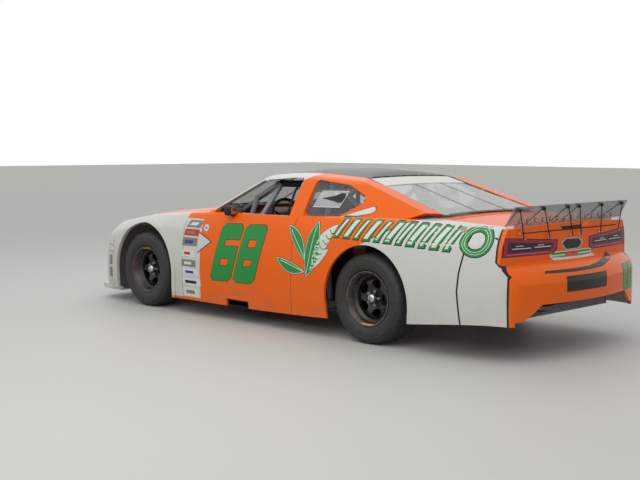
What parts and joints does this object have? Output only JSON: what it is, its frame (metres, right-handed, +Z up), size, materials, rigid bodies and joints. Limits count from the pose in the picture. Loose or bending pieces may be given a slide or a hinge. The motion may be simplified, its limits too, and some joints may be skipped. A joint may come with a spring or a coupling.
{
  "type": "stock car",
  "caption": "Full-size stock car with a tube-frame chassis, panelled body, roll cage, hinged hood and decklid, rear spoiler and steered front wheels.",
  "frame": {"origin": "on the ground, under the middle of the car's overall length and width", "axes": "+X points forward along the car, +Y to the car's left, +Z up"},
  "size_m": [5.08, 1.935, 1.3013],
  "materials": {
    "paint_orange": "gloss",
    "paint_white": "gloss",
    "clear_sheet": "clear",
    "smoked_sheet": "clear",
    "black_metal": "satin",
    "black_plastic": "matte",
    "grey_steel": "satin",
    "dark_sheet": "satin",
    "seat_shell": "matte",
    "cast_block": "satin",
    "wheel_steel": "satin",
    "tyre": "matte"
  },
  "bodies": {
    "chassis": {"rear_bumper": "paint_orange", "front_bumper": "paint_white", "cowl": "paint_orange", "rear_shelf": "paint_orange", "roof": "paint_orange", "windscreen": "clear_sheet", "rear_window": "clear_sheet", "splitter": "black_plastic", "frame": "grey_steel", "roll_cage": "grey_steel", "floor_pan": "dark_sheet", "bulkheads": "dark_sheet", "parcel_shelf": "dark_sheet", "dashboard": "black_plastic", "seat": "seat_shell", "engine": "cast_block", "driveline": "cast_block", "fuel_cell": "black_plastic", "exhaust": "black_metal", "rear_axle": "cast_block", "front_suspension": "black_metal", "rear_suspension": "black_metal", "quarter_left": "paint_white", "quarter_right": "paint_white", "door_left": "paint_orange", "door_right": "paint_orange", "fender_left": "paint_white", "fender_right": "paint_white", "quarter_window_left": "clear_sheet", "quarter_window_right": "clear_sheet"},
    "hood": {"hood": "paint_orange"},
    "decklid": {"decklid": "paint_orange", "spoiler": "smoked_sheet", "spoiler_struts": "black_metal"},
    "steering_wheel": {"steering_wheel": "black_plastic"},
    "knuckle_left": {"knuckle_left": "black_metal"},
    "knuckle_right": {"knuckle_right": "black_metal"},
    "wheel_front_left": {"wheel_front_left": "wheel_steel", "tyre_front_left": "tyre"},
    "wheel_front_right": {"wheel_front_right": "wheel_steel", "tyre_front_right": "tyre"},
    "wheel_rear_left": {"wheel_rear_left": "wheel_steel", "tyre_rear_left": "tyre"},
    "wheel_rear_right": {"wheel_rear_right": "wheel_steel", "tyre_rear_right": "tyre"}
  },
  "joints": [
    {"name": "spin_rear_left", "type": "hinge", "parent": "chassis", "child": "wheel_rear_left", "pos_m": [-1.16, 0.785, 0.343], "axis": [0, 1, 0], "continuous": true},
    {"name": "spin_rear_right", "type": "hinge", "parent": "chassis", "child": "wheel_rear_right", "pos_m": [-1.16, -0.785, 0.343], "axis": [0, 1, 0], "continuous": true},
    {"name": "spin_front_left", "type": "hinge", "parent": "knuckle_left", "child": "wheel_front_left", "pos_m": [1.58, 0.785, 0.343], "axis": [0, 1, 0], "continuous": true},
    {"name": "spin_front_right", "type": "hinge", "parent": "knuckle_right", "child": "wheel_front_right", "pos_m": [1.58, -0.785, 0.343], "axis": [0, 1, 0], "continuous": true},
    {"name": "steer_left", "type": "hinge", "parent": "chassis", "child": "knuckle_left", "pos_m": [1.58, 0.69, 0.343], "axis": [0, 0, 1], "range_deg": [-22.5, 22.5]},
    {"name": "steer_right", "type": "hinge", "parent": "chassis", "child": "knuckle_right", "pos_m": [1.58, -0.69, 0.343], "axis": [0, 0, 1], "range_deg": [-22.5, 22.5]},
    {"name": "steering_wheel_turn", "type": "hinge", "parent": "chassis", "child": "steering_wheel", "pos_m": [0.235, 0.4, 0.85], "axis": [-0.9724, 0, 0.2334], "range_deg": [-264, 264]},
    {"name": "hood_hinge", "type": "hinge", "parent": "chassis", "child": "hood", "pos_m": [1.03, 0, 0.91166], "axis": [0, -1, 0], "range_deg": [0, 50]},
    {"name": "decklid_hinge", "type": "hinge", "parent": "chassis", "child": "decklid", "pos_m": [-1.752, 0, 0.95428], "axis": [0, 1, 0], "range_deg": [0, 40]}
  ],
  "couplings": [
    {"joint": "steer_left", "follows": "steering_wheel_turn", "ratio": 0.083333},
    {"joint": "steer_right", "follows": "steering_wheel_turn", "ratio": 0.083333}
  ]
}
